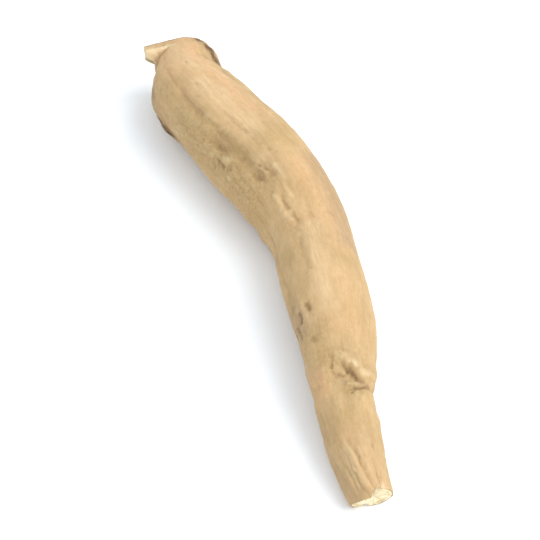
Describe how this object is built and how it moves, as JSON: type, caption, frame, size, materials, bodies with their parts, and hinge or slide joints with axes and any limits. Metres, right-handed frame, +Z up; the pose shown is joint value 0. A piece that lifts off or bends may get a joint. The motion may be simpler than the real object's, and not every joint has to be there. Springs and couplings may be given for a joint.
{
  "type": "licorice root",
  "caption": "Dried, woody root piece: a gently bowed taproot length, thick at the cut head, with a knot above a thin snapped tip, lying on its side.",
  "frame": {"origin": "middle of the footprint, at the surface the root lies on", "axes": "+Y towards the thick cut head, -Y towards the thin snapped tip, +Z up from the surface, +X to the side the root bows to"},
  "size_m": [0.024, 0.1102, 0.0173],
  "materials": {
    "root_bark": "dry matt bark, finely wrinkled, with paler cut ends"
  },
  "bodies": {
    "root": {"licorice_root": "root_bark"}
  },
  "joints": []
}
